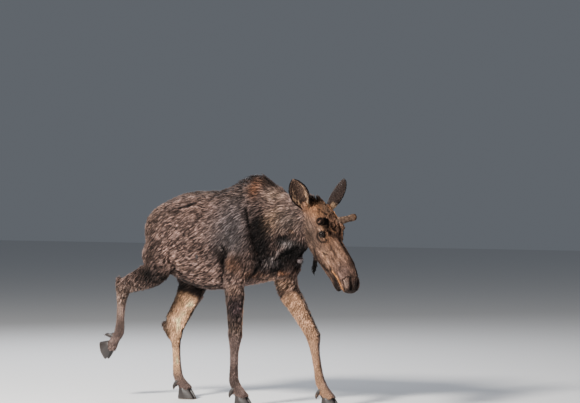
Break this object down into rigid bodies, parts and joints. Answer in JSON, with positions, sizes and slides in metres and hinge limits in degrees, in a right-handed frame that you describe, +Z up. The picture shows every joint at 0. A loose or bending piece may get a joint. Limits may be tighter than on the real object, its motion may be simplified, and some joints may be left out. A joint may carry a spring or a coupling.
{
  "type": "moose",
  "caption": "Still life-size model of a young bull moose in mid-stride, head lowered, with short velvet antlers.",
  "frame": {"origin": "on the floor, under the middle of the whole animal's bounding box", "axes": "+X towards the head, +Y to the animal's left, +Z up"},
  "size_m": [2.4792, 0.572, 1.8357],
  "materials": {
    "body_coat": "dark brown shaggy hair",
    "leg_coat": "short grey-brown to tan hair",
    "face_coat": "short reddish-brown hair",
    "hoof_horn": "dark horn",
    "antler_velvet": "short dense velvet",
    "eye": "wet and glossy"
  },
  "bodies": {
    "root": {"antler_left": "antler_velvet", "antler_right": "antler_velvet", "bell": "body_coat", "ear_left": "face_coat", "ear_right": "face_coat", "eye_left": "eye", "eye_right": "eye", "foreleg_left_cannon": "leg_coat", "foreleg_left_dewclaw_inner": "hoof_horn", "foreleg_left_dewclaw_outer": "hoof_horn", "foreleg_left_forearm": "body_coat", "foreleg_left_hoof_inner": "hoof_horn", "foreleg_left_hoof_outer": "hoof_horn", "foreleg_left_pastern": "leg_coat", "foreleg_right_cannon": "leg_coat", "foreleg_right_dewclaw_inner": "hoof_horn", "foreleg_right_dewclaw_outer": "hoof_horn", "foreleg_right_forearm": "body_coat", "foreleg_right_hoof_inner": "hoof_horn", "foreleg_right_hoof_outer": "hoof_horn", "foreleg_right_pastern": "leg_coat", "head": "face_coat", "hindleg_left_cannon": "leg_coat", "hindleg_left_dewclaw_inner": "hoof_horn", "hindleg_left_dewclaw_outer": "hoof_horn", "hindleg_left_gaskin": "body_coat", "hindleg_left_hoof_inner": "hoof_horn", "hindleg_left_hoof_outer": "hoof_horn", "hindleg_left_pastern": "leg_coat", "hindleg_right_cannon": "leg_coat", "hindleg_right_dewclaw_inner": "hoof_horn", "hindleg_right_dewclaw_outer": "hoof_horn", "hindleg_right_gaskin": "body_coat", "hindleg_right_hoof_inner": "hoof_horn", "hindleg_right_hoof_outer": "hoof_horn", "hindleg_right_pastern": "leg_coat", "neck": "body_coat", "tail": "body_coat", "trunk": "body_coat"}
  },
  "joints": []
}
